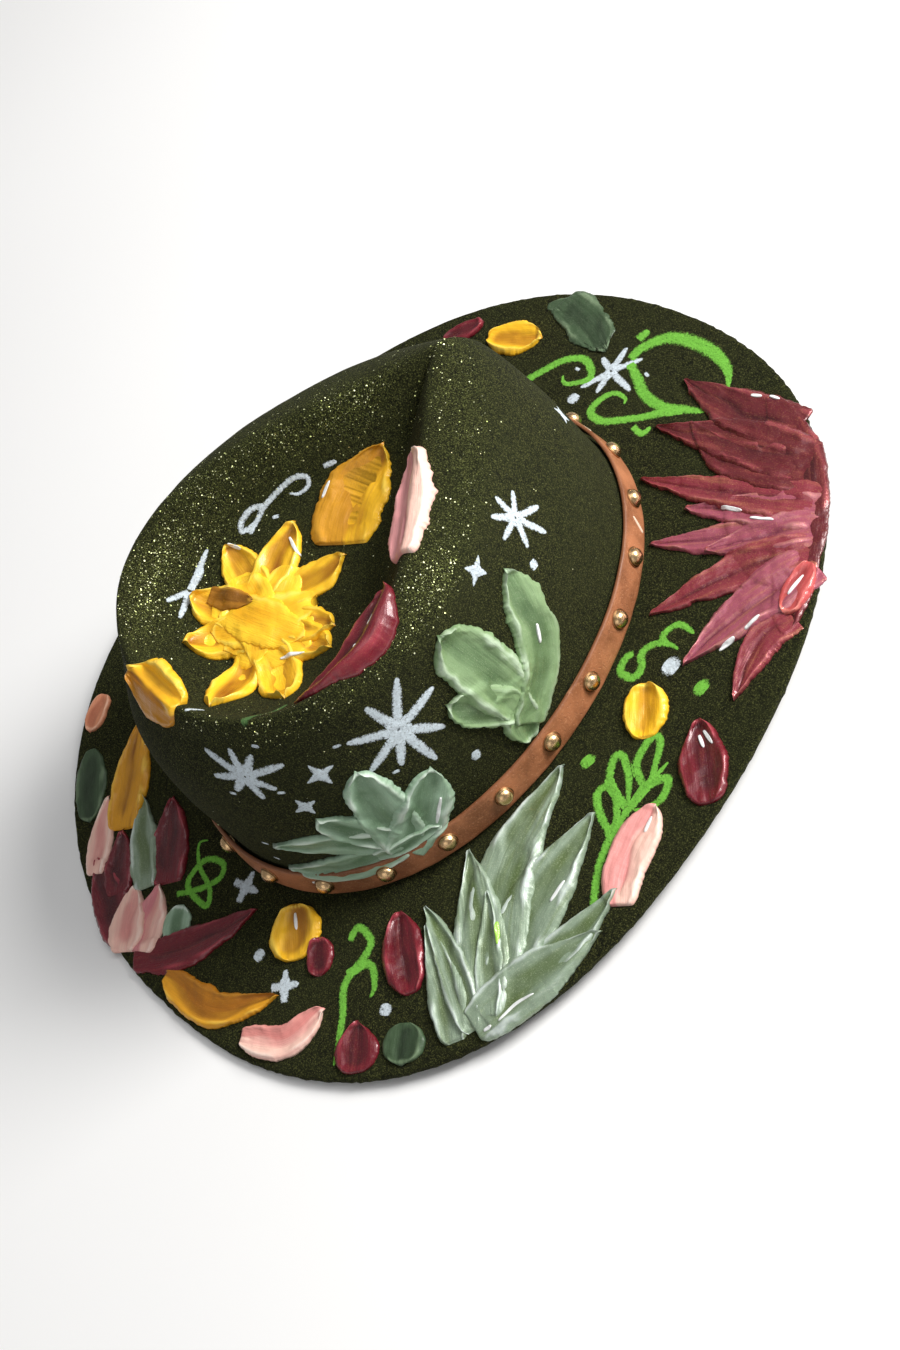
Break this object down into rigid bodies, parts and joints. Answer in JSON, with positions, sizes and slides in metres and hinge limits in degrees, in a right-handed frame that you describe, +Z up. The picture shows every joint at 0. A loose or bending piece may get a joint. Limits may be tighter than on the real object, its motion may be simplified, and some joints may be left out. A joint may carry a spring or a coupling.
{
  "type": "fedora hat",
  "caption": "Wool-felt fedora with a teardrop crown, wide flat brim, studded leather hatband and thick hand-painted flowers and leaves; worn on the head.",
  "frame": {"origin": "middle of the brim's outline, on the surface that the hat stands on", "axes": "+X towards the wearer's left, -Y towards the front of the hat, +Z up through the crown"},
  "size_m": [0.3044, 0.3426, 0.1071],
  "materials": {
    "olive_felt": "matt wool felt, dark olive, with gold glitter dusting",
    "sweatband_leather": "smooth leather, satin",
    "thread": "waxed thread",
    "tan_leather": "smooth vegetable-tanned leather, satin",
    "antique_brass": "antiqued, polished on the dome",
    "yellow_paint": "thick dried acrylic paint, semi-gloss",
    "burgundy_paint": "thick dried acrylic paint, semi-gloss",
    "sage_paint": "thick dried acrylic paint, semi-gloss",
    "pink_paint": "thick dried acrylic paint, semi-gloss",
    "peach_paint": "thick dried acrylic paint, semi-gloss",
    "green_paint": "thick dried acrylic paint, semi-gloss"
  },
  "bodies": {
    "root": {"felt_body": "olive_felt", "sweatband": "sweatband_leather", "sweatband_stitching": "thread", "hatband_strap": "tan_leather", "stud_caps": "antique_brass", "stud_backs": "antique_brass", "crown_yellow_flower": "yellow_paint", "crown_yellow_petal": "yellow_paint", "crown_pink_petal": "pink_paint", "crown_burgundy_stroke": "burgundy_paint", "crown_rim_yellow_petal": "yellow_paint", "crown_side_succulent": "sage_paint", "crown_band_succulent": "sage_paint", "crown_far_succulent": "sage_paint", "front_burgundy_agave": "burgundy_paint", "front_sage_patch": "sage_paint", "front_yellow_dab": "yellow_paint", "front_burgundy_dab": "burgundy_paint", "side_yellow_dab": "yellow_paint", "side_burgundy_petal": "burgundy_paint", "side_pink_petal": "pink_paint", "side_sage_agave": "sage_paint", "rear_burgundy_petal": "burgundy_paint", "rear_green_dab": "green_paint", "rear_burgundy_dab": "burgundy_paint", "rear_pink_petal": "pink_paint", "rear_yellow_petal": "yellow_paint", "back_yellow_dab": "yellow_paint", "back_burgundy_dab": "burgundy_paint", "back_burgundy_leaf": "burgundy_paint", "back_sage_dab": "sage_paint", "left_pink_petal": "pink_paint", "left_burgundy_petals": "burgundy_paint", "left_sage_stroke": "sage_paint", "left_ochre_petal": "yellow_paint", "left_green_dab": "green_paint", "left_peach_dab": "peach_paint", "far_sage_fan": "sage_paint", "far_yellow_petal": "yellow_paint", "far_burgundy_petal": "burgundy_paint", "far_pink_petal": "pink_paint"}
  },
  "joints": []
}
